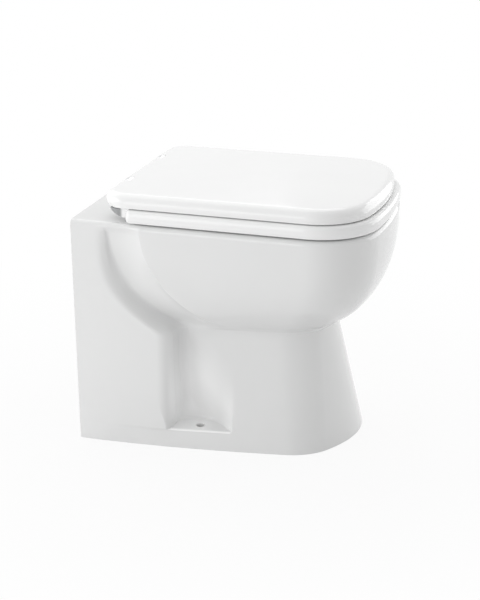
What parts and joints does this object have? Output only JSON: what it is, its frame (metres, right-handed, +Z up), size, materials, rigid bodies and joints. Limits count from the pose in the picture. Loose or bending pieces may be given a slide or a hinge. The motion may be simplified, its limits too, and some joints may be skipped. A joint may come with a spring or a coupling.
{
  "type": "toilet",
  "caption": "Back to wall toilet: glazed pan with boxed back and concealed trap, soft-close ring seat and flat lid on a hidden hinge, floor fixing scoops",
  "frame": {"origin": "on the wall line at floor level, on the centreline", "axes": "+X right as seen from the front, +Y towards the wall, +Z up; the bowl points to -Y"},
  "size_m": [0.3694, 0.5049, 0.4456],
  "materials": {
    "ceramic": "glossy white glaze",
    "seat_plastic": "glossy white moulding",
    "plated_metal": "polished plating",
    "zinc_steel": "zinc plated",
    "rubber": "matte black",
    "nut_plastic": "satin white",
    "damper_plastic": "satin grey",
    "bush_plastic": "satin white",
    "bumper_rubber": "matte light grey"
  },
  "bodies": {
    "pan": {"pan": "ceramic", "hinge_post_left": "plated_metal", "hinge_post_right": "plated_metal", "hinge_pin_left": "plated_metal", "hinge_pin_right": "plated_metal", "base_gasket_left": "rubber", "base_gasket_right": "rubber", "fixing_stud_left": "zinc_steel", "fixing_stud_right": "zinc_steel", "deck_bush_left": "rubber", "deck_bush_right": "rubber", "fixing_washer_left": "zinc_steel", "fixing_washer_right": "zinc_steel", "wing_nut_left": "nut_plastic", "wing_nut_right": "nut_plastic", "lid_damper_vane": "damper_plastic", "seat_damper_vane": "damper_plastic"},
    "seat": {"seat": "seat_plastic", "seat_damper_housing": "damper_plastic", "seat_bush": "bush_plastic", "seat_bumper_front_left": "bumper_rubber", "seat_bumper_front_right": "bumper_rubber", "seat_bumper_rear_left": "bumper_rubber", "seat_bumper_rear_right": "bumper_rubber"},
    "lid": {"lid": "seat_plastic", "lid_damper_housing": "damper_plastic", "lid_bush": "bush_plastic", "lid_bumper_left": "bumper_rubber", "lid_bumper_right": "bumper_rubber"}
  },
  "joints": [
    {"name": "seat_hinge", "type": "hinge", "parent": "pan", "child": "seat", "pos_m": [0, -0.066, 0.4322], "axis": [-1, 0, 0], "range_deg": [0, 95]},
    {"name": "lid_hinge", "type": "hinge", "parent": "seat", "child": "lid", "pos_m": [0, -0.066, 0.4322], "axis": [-1, 0, 0], "range_deg": [0, 95]}
  ]
}
